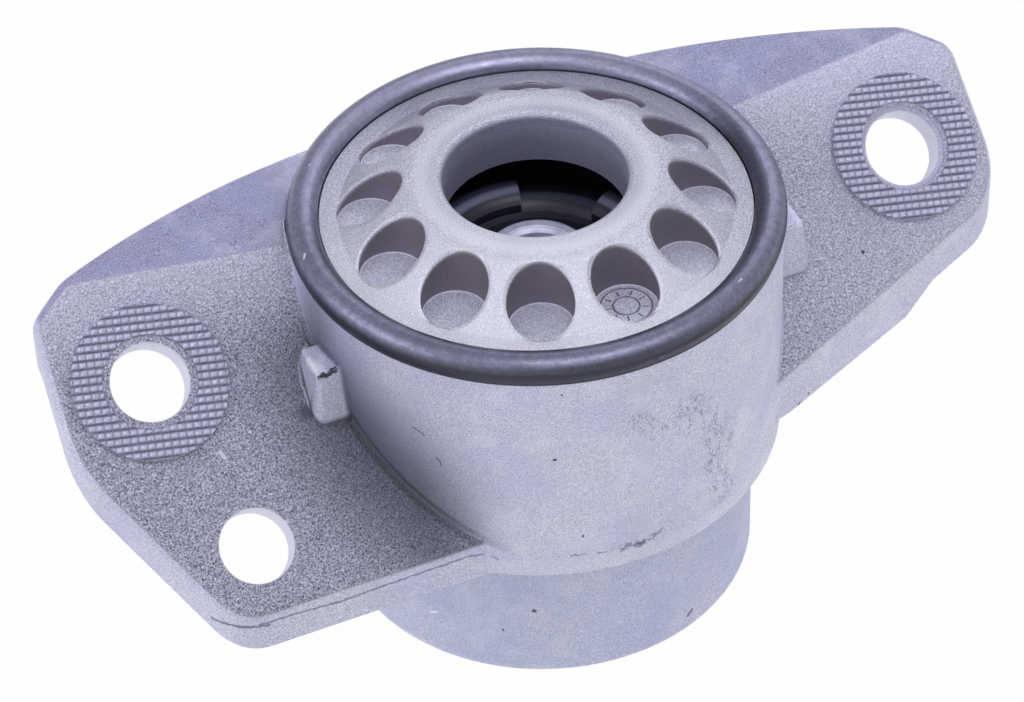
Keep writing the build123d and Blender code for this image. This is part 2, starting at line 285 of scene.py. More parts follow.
    def finish(self, **sockets: Any) -> bpy.types.Material:
        """Close the coat with its shader.

        Args:
            **sockets: Constants for the shader's own sockets, by name with _ for a space.

        Returns:
            The material.
        """
        shader = add(self.tree, "ShaderNodeBsdfPrincipled", {"Base Color": self.colour, "Roughness": self.rough}).node
        for name, value in sockets.items():
            shader.inputs[name.replace("_", " ")].default_value = value
        if isinstance(self.height, bpy.types.NodeSocket):
            add(self.tree, "ShaderNodeBump", {"Height": self.height, "Distance": MM, "Strength": 1.0})
            bump = self.tree.nodes[-1]
            self.tree.links.new(bump.outputs[0], shader.inputs["Normal"])
        add(self.tree, "ShaderNodeOutputMaterial", [shader.outputs[0]])
        return self.material


@dataclass(frozen=True)
class Mark:
    """One scratch, chip or speck: a chain of points, its width and its depth in millimetres."""

    points: tuple[Point, ...]
    width: float
    colour: str
    depth: float = 0.0
    wander: float = 0.0
    share: float = 1.0


# Specks, nicks and chips of the pot and wings
MARKS = (
    Mark(((-10.4, -32.6, 27.3), (-5.6, -33.7, 27.2), (-0.5, -34.2, 26.6)), 0.14, "#74748C", 0.0, 0.3, 0.7),
    Mark(((-3.4, -34.0, 27.1), (0.6, -34.2, 27.3), (2.6, -34.1, 28.1)), 0.5, "#80809A", 0.0, 0.7, 0.6),
    Mark(((-1.6, -34.1, 27.0), (0.2, -34.2, 27.1)), 0.2, "#5E5E76", 0.0, 0.3, 0.8),
    Mark(((-27.5, -20.3, 48.1), (-27.1, -20.9, 47.9), (-26.6, -21.5, 47.4)), 0.14, "#5E5E74", 0.0, 0.15, 0.8),
    Mark(((-25.5, -22.8, 43.8), (-25.1, -23.2, 43.3), (-25.0, -23.3, 42.6)), 0.16, "#5E5E74", 0.0, 0.15, 0.8),
    Mark(((-11.99, -32.03, 45.83),), 0.25, "#55556A", 0.0, 0.1),
    Mark(((-8.6, -33.1, 30.92),), 0.22, "#5C5C74", 0.0, 0.1),
    Mark(((-10.88, -32.42, 57.6),), 0.2, "#55556A", 0.0, 0.1),
    Mark(((-13.65, -26.94, 12.62),), 0.35, "#66667E", 0.0, 0.1),
    Mark(((-17.51, -24.6, 8.28),), 0.2, "#55556A"),
    Mark(((-25.3, -16.5, 7.8), (-24.6, -17.5, 8.5)), 0.16, "#F2F2FC"),
    Mark(((9.5, -28.6, 2.9), (10.3, -28.4, 3.6)), 0.22, "#5A5A70"),
    Mark(((-49.7, 12.25, 61.23),), 0.3, "#F0F0FA"),
    Mark(((-41.9, 15.3, 62.0), (-41.2, 15.5, 62.0)), 0.16, "#FAFAFF"),
    Mark(((-40.4, 13.2, 61.9), (-39.9, 13.4, 61.9)), 0.16, "#FAFAFF"),
    Mark(((-51.6, -9.3, 44.0), (-51.2, -10.1, 43.4)), 0.3, "#E6E6F4", 0.0, 0.1),
    Mark(((-46.74, -8.25, 44.86),), 0.25, "#F0F0FA"),
    Mark(((46.12, -9.91, 43.53),), 0.3, "#5C5C74"),
    Mark(((31.4, -19.7, 28.1),), 0.3, "#66667E", 0.0, 0.3),
    Mark(((33.2, -19.0, 28.9),), 0.25, "#66667E", 0.0, 0.3),
)
# Left lug: painted shade on its left side, a painted highlight on its worn top, a rough chip and a rim; right lug: a
# painted highlight on its worn top
LUG_MARKS = (
    Mark(((-38.4, -8.2, 50.2), (-38.7, -7.9, 41.6)), 1.0, "#62626E", 0.0, 0.3, 0.75),
    Mark(((-37.4, -5.6, 52.0), (-36.4, -8.0, 52.2)), 1.0, "#FFFFFF", 0.0, 0.5, 0.8),
    Mark(((-36.2, -8.6, 52.2), (-35.0, -6.0, 52.2)), 0.6, "#F4F4FF", 0.0, 0.5, 0.5),
    Mark(((-36.5, -9.2, 51.7), (-35.3, -9.3, 51.8), (-34.0, -8.8, 52.1)), 0.42, "#33333F", -0.1, 0.4, 0.9),
    Mark(
        (
            (-35.2, -1.1, 50.6), (-36.6, -2.1, 49.8), (-37.3, -3.3, 48.8), (-37.7, -4.8, 47.6),
            (-37.8, -6.4, 46.4), (-37.6, -7.8, 45.2), (-37.3, -8.8, 44.4),
        ),
        0.2, "#E2E2F0", 0.0, 0.12, 0.5,
    ),
    Mark(((36.3, -9.2, 52.0), (36.3, -3.6, 52.0)), 0.6, "#F2F2FC", 0.0, 0.35, 0.7),
)
# Bright nicks on the rolled lip, and painted highlights streaked along its back and its front foot
LIP_MARKS = (
    Mark(((-33.5, 2.2, 63.0), (-33.1, 2.8, 63.1)), 0.2, "#F0F0FA"),
    Mark(((-25.9, 19.4, 63.1), (-25.5, 20.0, 63.2)), 0.16, "#E6E6F4"),
    Mark(((17.3, -27.9, 63.2), (17.9, -27.5, 63.2)), 0.14, "#D2D2E4", 0.0, 0.1, 0.6),
    Mark(((5.0, 30.6, 62.9), (10.2, 28.9, 62.9)), 0.16, "#C8C8DC", 0.0, 0.2, 0.35),
    Mark(((19.2, 23.9, 62.8), (22.6, 20.8, 62.8)), 0.16, "#C8C8DC", 0.0, 0.2, 0.35),
    Mark(((2.6, -34.2, 60.6), (9.0, -33.1, 60.6)), 0.2, "#C8C8DC", 0.0, 0.15, 0.6),
)
# Patches of fine pits on the right of the pot, where it was dragged over something rough
SCUFFS = (
    Mark(((7.4, -33.4, 48.3), (11.0, -32.4, 43.2), (13.0, -31.7, 39.0)), 4.2, "#8A8AA6", -0.06),
    Mark(((12.0, -32.1, 36.0), (13.4, -31.5, 29.0)), 3.2, "#8A8AA6", -0.06),
    Mark(((-0.4, -34.2, 50.3), (2.6, -34.1, 46.8)), 2.2, "#8A8AA6", -0.06),
)
# Parting line of the casting, under the front edge of the left wing and round its corner
PARTING = (
    Mark(
        (
            (-54.0, -27.3, 28.2), (-48.1, -27.3, 28.1), (-42.3, -27.3, 27.6), (-33.4, -27.3, 27.9),
            (-23.0, -27.3, 28.0), (-21.5, -27.3, 27.6), (-19.3, -28.2, 26.6),
        ),
        0.19, "#8484A0", -0.07, 0.14, 0.75,
    ),
    Mark(
        (
            (-59.4, -23.7, 28.6), (-57.9, -25.3, 28.35), (-56.5, -26.3, 28.1), (-55.0, -26.95, 28.0),
            (-52.7, -27.3, 27.7),
        ),
        0.26, "#70708A", -0.07, 0.14, 0.75,
    ),
)


@dataclass(frozen=True)
class CastHousing:
    """Gravity-cast aluminium, blasted after casting: a matt lilac-grey metal with an orange-peel face."""

    ground: str = "#A8AACC"
    light: str = "#FDFEFF"
    shade: str = "#B0B2CC"
    haze: str = "#C4C8F2"
    collar: str = "#949EC8"
    shelf_painted_shade: str = "#707082"
    shelf_light: str = "#DCDCF6"
    shelf_z: float = 58.6
    face_dark: str = "#4E4E5E"
    face_grain_and_painted_light: str = "#F2F2FF"
    face_pit: str = "#6C6C7A"
    corner: str = "#565664"
    root: str = "#4A4A56"
    groove: str = "#A0A0B0"
    pad: str = "#E6E6F8"
    drilled: str = "#E8E8F4"
    edge_highlight: str = "#FFFFFF"
    mouth: str = "#E6E6F4"
    burnished: str = "#8C8C9E"
    lip_light: str = "#B4B4C8"
    lip_dull: str = "#84849A"
    lip_patch: str = "#6C6C7E"
    lip_back_painted_light: str = "#B8B8CA"
    lip_front_painted_shade: str = "#4A4A56"
    lip_inside_painted_shade: str = "#3C3C48"
    lip_outside_painted_shade: str = "#3A3A46"
    rough: float = 0.62
    lip_rough: float = 0.42
    sand_mm: float = 0.18
    peel_mm: float = 0.27
    shade_mm: float = 17.0
    blotch_mm: float = 5.0
    haze_mm: float = 8.0
    worn_mm: float = 2.6
    scuff_patch_mm: float = 1.5
    scuff_pit_mm: float = 0.28
    lip_streak_mm: float = 0.3
    lip_cloud_mm: float = 3.0
    lip_sand_mm: float = 0.35
    roller_mm: float = 1.1
    corner_reach: float = 16.0
    lug_reach: float = 42.0

    def make(self) -> bpy.types.Material:
        """Build the housing's material.

        Returns:
            The material.
        """
        coat = Coat("cast_aluminium_blasted", self.ground, self.rough)
        # The shot leaves dents of about 0.1 mm; they are drawn coarser, as fine as the render can show
        sand = coat.grain(self.sand_mm)
        coat.lay(sand, self.light, None, 0.12)
        # Smoother skin on the level shelves behind the ridge, darker with painted shade, as they face away from the
        # light
        shelf = coat.both(
            coat.within(coat.level, self.shelf_z + 1.0, self.shelf_z),
            coat.within(coat.radius, BODY_R + 0.7, BODY_R + 0.4),
        )
        coat.lay(shelf, self.shelf_painted_shade)
        coat.lay(coat.both(shelf, sand), self.shelf_light)
        # Slow clouds of tone, as a blasted casting has them
        coat.lay(coat.mottle(self.shade_mm, 0.66, 0.4, 3.0, 0.18), self.shade)
        coat.lay(coat.mottle(self.blotch_mm, 0.7, 0.5, 3.0, 0.2), self.light)
        coat.lay(coat.mottle(self.haze_mm, 0.7, 0.3, 3.0, 0.22), self.haze)
        # The collar is a little bluer than the pot, and darker with painted shade under the pot's overhang
        coat.lay(coat.within(coat.level, BODY_Z - 0.7, BODY_Z - 0.2, 0.24), self.collar)
        over = self.peel(coat)
        self.corners(coat, over)
        self.holes(coat)
        self.edges(coat)
        self.scuffs(coat)
        self.lip(coat)
        return coat.finish(Metallic=1.0)

    def peel(self, coat: Coat) -> Any:
        """Lay the coarse orange-peel skin of the flange face, darker than the rest, and the knurl's painted highlights
        and shade.

        Args:
            coat: The housing's coat.

        Returns:
            Height over the flange face, in millimetres.
        """
        over = coat.plane(FACE_ORIGIN, FACE_NORMAL)
        off = add(coat.tree, "ShaderNodeMath", [over], operation="ABSOLUTE")
        wing = coat.within(coat.radius, BODY_R + 0.3, BODY_R + 0.1)
        face = coat.both(wing, coat.within(off, 1.0, 1.3), coat.within(over, -0.08, -0.3))
        coat.lay(face, self.face_dark)
        coat.lay(coat.both(face, coat.grain(self.peel_mm)), self.face_grain_and_painted_light, None, 0.11)
        coat.lay(coat.both(face, coat.mottle(self.peel_mm * 2.6, 0.3, 0.42, 2.0, 0.3)), self.face_pit, None, -0.02)
        # Painted light: paler towards the right wing's end and towards the ridge, where more light falls
        coat.lay(coat.both(face, coat.within(coat.across, 60.0, 10.0, 0.3)), self.face_grain_and_painted_light)
        coat.lay(coat.both(face, coat.within(coat.plane(FACE_ORIGIN, FACE_UP), 16.0, 0.0, 0.4)), self.face_grain_and_painted_light)
        # Knurl: painted highlights on its points over painted shade in its grooves
        knurl = coat.both(wing, coat.within(over, PAD_H + 0.02, PAD_H), coat.within(over, 1.2, 1.4))
        coat.lay(knurl, self.groove)
        coat.lay(coat.both(knurl, coat.within(over, PAD_H + 0.42, PAD_H + 0.06)), self.pad, 0.5)
        return over

    def corners(self, coat: Coat, over: Any) -> None:
        """Paint shade into the corner between the left wing and the pot and along its root, and keep the lugs pale.

        Args:
            coat: The housing's coat.
            over: Height over the flange face, in millimetres.
        """
        off = add(coat.tree, "ShaderNodeMath", [over], operation="ABSOLUTE")
        beside = add(coat.tree, "ShaderNodeMath", [coat.radius, BODY_R], operation="SUBTRACT")
        pair = add(coat.tree, "ShaderNodeCombineXYZ", [beside, off, 0.0])
        corner = add(coat.tree, "ShaderNodeVectorMath", [pair], out="Value", operation="LENGTH")
        left = coat.within(coat.across, -28.0, -16.0)
        above = coat.within(over, -0.1, -0.5)
        ahead = coat.within(coat.rear, -5.0, 6.0)
        # Painted shade over the corner, darkest along the root
        coat.lay(coat.both(left, above, ahead, coat.within(corner, 0.4, self.corner_reach, 0.72)), self.corner)
        coat.lay(coat.both(left, above, ahead, coat.within(corner, 0.7, 1.2, 0.5)), self.root)
        lug = coat.both(
            coat.within(over, 1.2, 0.5),
            coat.within(coat.radius, BODY_R + 0.9, BODY_R + 0.3),
            coat.within(coat.radius, self.lug_reach, self.lug_reach + 1.0),
        )
        coat.lay(lug, self.ground)
        coat.lay(coat.both(lug, coat.grain(self.sand_mm)), self.light)

    def holes(self, coat: Coat) -> None:
        """Lay the drilled walls of the flange's holes: smooth and bright.

        Args:
            coat: The housing's coat.
        """
        for u, v, radius in HOLES:
            middle = FACE_ORIGIN + u * np.array([1.0, 0.0, 0.0]) + v * FACE_UP
            axis = coat.line(tuple(middle + 3.0 * FACE_NORMAL), tuple(middle - 12.0 * FACE_NORMAL))
            coat.lay(coat.within(axis, radius + 0.04, radius + 0.12, 0.6), self.drilled, 0.42)

    def edges(self, coat: Coat) -> None:
        """Lay a painted highlight on the lower edge of the pot, with a paler band over it, and the collar's mouth worn
        bright.

        Args:
            coat: The housing's coat.
        """
        coat.lay(coat.within(coat.ring(BODY_R, BODY_Z + 2.0), 0.6, 1.7, 0.12), self.light)
        # Painted highlight along the pot's lower edge
        coat.lay(coat.within(coat.ring(BODY_R - 0.3, BODY_Z), 0.14, 0.36, 0.9), self.edge_highlight, 0.4)
        worn = coat.mottle(self.worn_mm, 0.64, 0.36, 3.0)
        coat.lay(coat.both(coat.within(coat.ring(COLLAR_R, 0.6), 0.3, 0.9, 0.4), worn), self.mouth, 0.5)

    def scuffs(self, coat: Coat) -> None:
        """Lay the pitted scuffs, then each scratch and chip.

        Args:
            coat: The housing's coat.
        """
        # Patches and pits are drawn out upwards, the way the pot was dragged
        patches = coat.mottle(self.scuff_patch_mm, 0.56, 0.42, 2.0, 1.0, (0.8, 0.8, 1.6))
        pitted = coat.both(patches, coat.mottle(self.scuff_pit_mm, 0.36, 0.56, 3.0, 0.62, (1.0, 1.0, 1.7)))
        for scuff in SCUFFS:
            zone = coat.within(coat.path(scuff.points), 0.4 * scuff.width, scuff.width)
            coat.lay(coat.both(zone, pitted), scuff.colour, 0.7, scuff.depth)
        for mark in (*MARKS, *LUG_MARKS, *PARTING):
            self.mark(coat, mark)

    def lip(self, coat: Coat) -> None:
        """Lay the lip that was rolled over the cover: burnished smooth and darker, with faint streaks round it.

        Args:
            coat: The housing's coat.
        """
        zone = coat.within(coat.ring(LIP_PITCH_R, LIP_Z), LIP_R + 0.06, LIP_R + 0.2)
        coat.height = add(coat.tree, "ShaderNodeMix", {0: zone, 2: coat.height, 3: 0.0}, data_type="FLOAT")
        coat.lay(zone, self.burnished, self.lip_rough)
        streaks = coat.mottle(self.lip_streak_mm, 0.66, 0.4, 2.0, 0.28, place=coat.profile)
        coat.lay(coat.both(zone, streaks), self.lip_light, self.lip_rough - 0.04, 0.004)
        clouds = coat.mottle(self.lip_cloud_mm, 0.66, 0.46, 3.0, 0.4)
        coat.lay(coat.both(zone, clouds), self.lip_dull, self.lip_rough + 0.06)
        sand = coat.mottle(self.lip_sand_mm, 0.66, 0.4, 2.0, 0.3)
        coat.lay(coat.both(zone, sand), self.lip_light, None, 0.008)
        # Hammered patches left by the roller
        patches = coat.mottle(self.roller_mm, 0.7, 0.36, 3.0, 0.4)
        coat.lay(coat.both(zone, patches), self.lip_patch, self.lip_rough + 0.04, -0.035)
        # Painted light and shade: paler at the back, darker in front and towards both rims, as the smooth lip mirrors
        # its surroundings
        coat.lay(coat.both(zone, coat.within(coat.rear, 27.0, 6.0, 0.25)), self.lip_back_painted_light)
        front = coat.within(coat.rear, -2.0, 14.0)
        inside = coat.both(front, coat.within(coat.ring(LIP_PITCH_R - LIP_R, LIP_Z + 0.6), 1.7, 3.0, 0.75))
        outside = coat.within(coat.ring(LIP_PITCH_R + LIP_R, LIP_Z - 0.9), 1.2, 2.5, 0.9)
        coat.lay(coat.both(zone, coat.within(coat.rear, -26.0, -8.0, 0.28)), self.lip_front_painted_shade)
        coat.lay(coat.both(zone, inside), self.lip_inside_painted_shade)
        coat.lay(coat.both(zone, outside), self.lip_outside_painted_shade)
        for mark in LIP_MARKS:
            self.mark(coat, mark)

    def mark(self, coat: Coat, mark: Mark) -> None:
        """Lay one mark with a soft edge."""
        mask = coat.within(coat.path(mark.points, mark.wander), 0.5 * mark.width, 1.3 * mark.width, mark.share)
        coat.lay(mask, mark.colour, None, mark.depth)


@dataclass(frozen=True)
class CastCover:
    """Pressure die-cast aluminium: a bright, fine-grained skin, lighter than the housing's."""

    ground: str = "#8C8CA2"
    light: str = "#FFFFFF"
    shade: str = "#A8A8B6"
    back_painted_shade: str = "#66667A"
    wall: str = "#968F98"
    floor_dark: str = "#B2B4CC"
    floor_light: str = "#FFFFFF"
    bore_top: str = "#D8D8E6"
    bore_foot: str = "#A8A8B8"
    bore_grain: str = "#8A8A9A"
    bore_line: str = "#D8D8EC"
    rough: float = 0.6
    sand_mm: float = 0.17
    shade_mm: float = 9.0
    floor_sand_mm: float = 0.2
    bore_sand_mm: float = 0.2
    mouth_round: float = 0.55
    hub_edge_r: float = 15.9
    hub_edge_z: float = 67.5
    line_z: float = 65.3

    def make(self) -> bpy.types.Material:
        """Build the cover's material.

        Returns:
            The material.
        """
        coat = Coat("die_cast_aluminium", self.ground, self.rough)
        # The skin's real grain is under 0.1 mm; it is drawn coarser, as fine as the render can show
        coat.lay(coat.grain(self.sand_mm), self.light, None, 0.07)
        coat.lay(coat.mottle(self.shade_mm, 0.66, 0.42, 3.0, 0.2), self.shade)
        # Painted light along its front half, and painted shade at the back, which faces away from the light
        fore = coat.plane(np.zeros(3), REARWARD)
        coat.lay(coat.within(fore, -24.0, 2.0, 0.42), self.light)
        coat.lay(coat.both(coat.within(fore, 24.0, 8.0, 0.45), coat.within(coat.radius, 20.0, 18.0)), self.back_painted_shade)
        self.pockets(coat)
        coat.lay(coat.within(coat.ring(self.hub_edge_r, self.hub_edge_z), 0.3, 1.8, 0.3), self.light)
        self.bore(coat)
        return coat.finish(Metallic=1.0)

    def pockets(self, coat: Coat) -> None:
        """Lay painted shade on the pockets' walls, their mottled floors, and round their mouths.

        The angle about the rod axis is folded onto one pocket, so that one distance from the pocket's own axis
        serves all of them. The distance from the mouth's edge joins the reach beyond the wall and the depth below
        the cone.

        Args:
            coat: The cover's coat.
        """
        heading = add(coat.tree, "ShaderNodeMath", [coat.rear, coat.across], operation="ARCTAN2")
        turned = add(coat.tree, "ShaderNodeMath", [heading, POCKET_TURN], operation="SUBTRACT")
        half = math.pi / POCKETS
        folded = add(coat.tree, "ShaderNodeMath", [turned, half, -half], operation="WRAP")
        cosine = add(coat.tree, "ShaderNodeMath", [folded], operation="COSINE")
        sine = add(coat.tree, "ShaderNodeMath", [folded], operation="SINE")
        unit = add(coat.tree, "ShaderNodeCombineXYZ", [cosine, sine, 0.0])
        local = add(coat.tree, "ShaderNodeVectorMath", {0: unit, "Scale": coat.radius}, operation="SCALE")
        reach = add(
            coat.tree, "ShaderNodeVectorMath", [local, (POCKET_PITCH_R, 0.0, 0.0)], out="Value", operation="DISTANCE"
        )
        wall = add(
            coat.tree, "ShaderNodeMath",
            [coat.level, POCKET_DRAFT, POCKET_FLOOR_R - POCKET_DRAFT * POCKET_FLOOR_Z], operation="MULTIPLY_ADD",
        )
        beyond = add(coat.tree, "ShaderNodeMath", [reach, wall], operation="SUBTRACT")
        cone = add(
            coat.tree, "ShaderNodeMath", [coat.radius, -CONE_FALL, CONE_Z + CONE_FALL * CONE_R],
            operation="MULTIPLY_ADD",
        )
        depth = add(coat.tree, "ShaderNodeMath", [cone, coat.level], operation="SUBTRACT")
        pair = add(coat.tree, "ShaderNodeCombineXYZ", [beyond, depth, 0.0])
        edge = add(coat.tree, "ShaderNodeVectorMath", [pair], out="Value", operation="LENGTH")
        inside = coat.within(beyond, 0.02, 0.08)
        low = coat.within(coat.level, POCKET_FLOOR_Z + 0.02, POCKET_FLOOR_Z + 0.12)
        # Painted shade on the walls, deep in the pockets
        coat.lay(coat.both(inside, coat.within(depth, 1.0, 0.1)), self.wall, 0.66)
        floor = coat.both(inside, low)
        coat.lay(floor, self.floor_dark)
        coat.lay(coat.both(floor, coat.grain(self.floor_sand_mm)), self.floor_light, None, 0.03)
        coat.lay(coat.both(floor, coat.within(reach, POCKET_FLOOR_R, POCKET_FLOOR_R - 0.35, 0.5)), self.floor_light)
        coat.lay(coat.within(edge, -self.mouth_round, self.mouth_round), None, None, -0.5)

    def bore(self, coat: Coat) -> None:
        """Lay the bore's wall, darker towards its foot, with fine grain and a faint line near the top.

        Args:
            coat: The cover's coat.
        """
        wall = coat.both(coat.within(coat.radius, BORE_R + 0.1, BORE_R + 0.3), coat.within(coat.level, 66.9, 67.2))
        coat.lay(wall, self.bore_top, self.rough)
        coat.lay(coat.both(wall, coat.within(coat.level, 62.0, 65.2, 0.5)), self.bore_foot)
        coat.lay(coat.both(wall, coat.mottle(self.bore_sand_mm, 0.7, 0.3, 2.0, 0.45)), self.bore_grain, None, 0.02)
        coat.lay(coat.within(coat.ring(BORE_R, self.line_z), 0.05, 0.2, 0.6), self.bore_line)


@dataclass(frozen=True)
class BushRubber:
    """Moulded natural rubber with carbon black: deep black with a soft satin skin and a little dust."""

    ground: str = "#20222E"
    dust: str = "#3A3C4E"
    groove: str = "#15161E"
    crest_highlight: str = "#8486A0"
    ridge_highlight: str = "#B4B6CE"
    rough: float = 0.4
    cloud_mm: float = 3.5
    dust_mm: float = 0.3
    ring_mm: float = 0.12
    crest_at: tuple[float, float] = (16.3, 53.6)
    ridge_at: tuple[float, float] = (15.2, 52.6)
    step_at: tuple[float, float] = (15.2, 50.9)

    def make(self) -> bpy.types.Material:
        """Build the bush's material.

        Returns:
            The material.
        """
        coat = Coat("natural_rubber_black", self.ground, self.rough)
        coat.lay(coat.mottle(self.cloud_mm, 0.7, 0.48, 3.0, 0.3), self.dust, 0.46)
        coat.lay(coat.mottle(self.dust_mm, 0.72, 0.36, 2.0, 0.35), self.dust, 0.42, 0.006)
        # Fine rings that the turned mould leaves in the skin
        rings = coat.mottle(self.ring_mm, 0.7, 0.5, 0.0, 0.6, place=coat.profile)
        coat.lay(rings, self.groove, 0.36, -0.004)
        # Painted highlights along the crest of the bump ring and on the edges beside it
        coat.lay(coat.within(coat.ring(*self.crest_at), 1.0, 2.6, 0.55), self.crest_highlight, 0.3)
        coat.lay(coat.within(coat.ring(*self.ridge_at), 0.5, 1.2, 0.75), self.ridge_highlight, 0.26)
        coat.lay(coat.within(coat.ring(*self.step_at), 0.4, 0.9, 0.3), self.crest_highlight, 0.3)
        return coat.finish(IOR=1.52)


@dataclass(frozen=True)
class TurnedCore:
    """Turned aluminium sleeve: pale metal with fine rings from the cutting tool."""

    ground: str = "#F2F2FC"
    furrow: str = "#C4C4D8"
    cloud: str = "#CACADC"
    rough: float = 0.58
    feed_mm: float = 0.16
    cloud_mm: float = 2.4

    def make(self) -> bpy.types.Material:
        """Build the core's material.

        Returns:
            The material.
        """
        coat = Coat("turned_aluminium", self.ground, self.rough)
        # Rings as far apart as the tool moves in one turn
        furrows = coat.mottle(self.feed_mm, 0.6, 0.42, 1.0, 0.6, place=coat.profile)
        coat.lay(furrows, self.furrow, self.rough + 0.02, -0.005)
        coat.lay(coat.mottle(self.cloud_mm, 0.66, 0.5, 3.0, 0.5), self.cloud, self.rough + 0.02)
        return coat.finish(Metallic=1.0)


def surface(
    name: str, points: np.ndarray, faces: list[list[int]], material: bpy.types.Material, smooth: bool
) -> bpy.types.Object:
    """Put a worked-out surface into a mesh object.

    Args:
        name: The piece's name.
        points: Corners in millimetres, one row each.
        faces: Corner numbers of each face.
        material: The piece's finish.
        smooth: Whether its faces are shaded smooth.

    Returns:
        The object, at the origin.
    """
    mesh = bpy.data.meshes.new(name)
    mesh.from_pydata((points * MM).tolist(), [], faces)
    mesh.polygons.foreach_set("use_smooth", np.full(len(mesh.polygons), smooth))
    mesh.materials.append(material)
    mesh.update()
    piece = bpy.data.objects.new(name, mesh)
    bpy.context.scene.collection.objects.link(piece)
    return piece


def tube_faces(around: int, along: int, closed: bool) -> list[list[int]]:
    """Faces of a closed profile carried along a path.

    Args:
        around: Corners of the profile.
        along: Stations on the path.
        closed: Whether the path returns to its start. Otherwise both ends get a cap.

    Returns:
        Four-cornered faces, and the caps.
    """
    i, j = np.meshgrid(np.arange(along if closed else along - 1), np.arange(around), indexing="ij")
    a, b = i * around + j, i * around + (j + 1) % around
    c, d = ((i + 1) % along) * around + (j + 1) % around, ((i + 1) % along) * around + j
    faces = np.stack([a, b, c, d], -1).reshape(-1, 4).tolist()
    if not closed:
        faces += [list(range(around))[::-1], [(along - 1) * around + k for k in range(around)]]
    return faces


@dataclass
class KnurledPad:
    """Ring of small pyramids pressed into the pad round a bolt hole."""

    side: Side
    material: bpy.types.Material
    inner_r: float = 6.5
    outer_r: float = 10.95
    pitch: float = 1.10
    turn: float = math.radians(-10.5)
    peak: float = 0.46
    cross_cut: float = 0.7
    flat_top: float = 1.15
    base: float = 0.03
    sunk: float = 0.15
    divisions: int = 4               # grid cells to the pitch

    def height(self, u: np.ndarray, w: np.ndarray) -> np.ndarray:
        """Height of the knurl over the pad: rows of bumps, with shallower cuts across the rows than between them.

        With m the larger of the share of the half pitch from the row's middle and cross_cut of the share from the
        bump's middle along the row, the height is flat_top (1 - m), at most 1, times the peak.

        Args:
            u: Places along the rows, in millimetres.
            w: Places across the rows.

        Returns:
            Heights in millimetres.
        """
        share = np.maximum(self.cross_cut * np.abs(u / self.pitch - np.round(u / self.pitch)),
                           np.abs(w / self.pitch - np.round(w / self.pitch))) * 2
        return self.base + self.peak * np.minimum(1.0, self.flat_top * (1 - share))

    def build(self) -> bpy.types.Object:
        """Build the ring as a closed shell: knurl on top, flat underneath, sides round its rims.

        The top is a square grid, squeezed onto the two rims where it crosses them.

        Returns:
            The piece, riding on the housing.
        """
        step = self.pitch / self.divisions
        count = int(self.outer_r / step) + 2
        line = np.arange(-count, count + 1) * step
        u, w = (g.ravel() for g in np.meshgrid(line, line, indexing="ij"))
        reach = np.hypot(u, w)
        height = self.height(u, w)
        squeeze = np.clip(reach, self.inner_r, self.outer_r) / np.maximum(reach, 1e-6)
        n = len(line)
        i, j = (g.ravel() for g in np.meshgrid(np.arange(n - 1), np.arange(n - 1), indexing="ij"))
        cells = np.stack([i * n + j, (i + 1) * n + j, (i + 1) * n + j + 1, i * n + j + 1], -1)
        inside = ((reach > self.inner_r) & (reach < self.outer_r))[cells].any(1)
        near = (reach[cells] > self.inner_r - step).all(1) & (reach[cells] < self.outer_r + step).all(1)
        cells = cells[inside & near]
        used, cells = np.unique(cells, return_inverse=True)
        cells = cells.reshape(-1, 4)
        u, w = (u * squeeze)[used], (w * squeeze)[used]
        rim = np.isclose(np.hypot(u, w), self.inner_r) | np.isclose(np.hypot(u, w), self.outer_r)
        height = np.where(rim, self.base, height[used])
        flat_u = u * math.cos(self.turn) - w * math.sin(self.turn) + self.side.value * BOLT_X
        flat_w = u * math.sin(self.turn) + w * math.cos(self.turn)
        place = FACE_ORIGIN + np.outer(flat_u, (1, 0, 0)) + np.outer(flat_w, FACE_UP)
        top = place + np.outer(PAD_H + height, FACE_NORMAL)
        low = place + (PAD_H - self.sunk) * FACE_NORMAL
        edges = np.stack([cells, np.roll(cells, -1, 1)], -1).reshape(-1, 2)
        keys = np.sort(edges, 1) @ (len(used), 1)
        _, index, seen = np.unique(keys, return_index=True, return_counts=True)
        border = edges[index[seen == 1]]
        size = len(used)
        sides = np.stack([border[:, 1], border[:, 0], border[:, 0] + size, border[:, 1] + size], -1)
        faces = np.concatenate([cells, cells[:, ::-1] + size, sides]).tolist()
        piece = surface(f"knurl_{self.side.name.lower()}", np.concatenate([top, low]), faces, self.material, False)
        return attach(piece, "root")


@dataclass
class RootFillet:
    """Cast round in the corner between the pot and a flat of the flange."""

    name: str
    point: np.ndarray
    normal: np.ndarray
    start: float
    end: float
    material: bpy.types.Material
    radius: float = 0.6
    depth: float = 0.35
    stations: int = 121
    arc_points: int = 9

    def build(self) -> bpy.types.Object:
        """Build the round that a ball leaves when it rolls in the corner.

        The ball's centre runs on the cylinder of the pot's radius plus its own, at its own radius over the flat.
        The section is the arc from the touch on the pot to the touch on the flat, closed inside the metal.

        Returns:
            The piece, riding on the housing.
        """
        turn = np.linspace(math.radians(self.start), math.radians(self.end), self.stations)
        out = np.stack([np.cos(turn), np.sin(turn), np.zeros_like(turn)], -1)
        centre = out * (BODY_R + self.radius)
        level = self.radius - (centre - self.point) @ self.normal
        centre[:, 2] += level / self.normal[2]
        lean = out @ self.normal
        share = np.linspace(0.0, 1.0, self.arc_points)[None, :, None]
        angle = np.arccos(lean)[:, None, None]
        arc = (np.sin((1 - share) * angle) * -out[:, None] + np.sin(share * angle) * -self.normal) / np.sin(angle)
        skin = centre[:, None] + self.radius * arc
        inner = centre - ((self.radius + self.depth) / (1 + lean))[:, None] * (out + self.normal)
        section = np.concatenate([skin, inner[:, None]], 1)
        faces = tube_faces(section.shape[1], len(turn), False)
        piece = surface(self.name, section.reshape(-1, 3), faces, self.material, True)
        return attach(piece, "root")


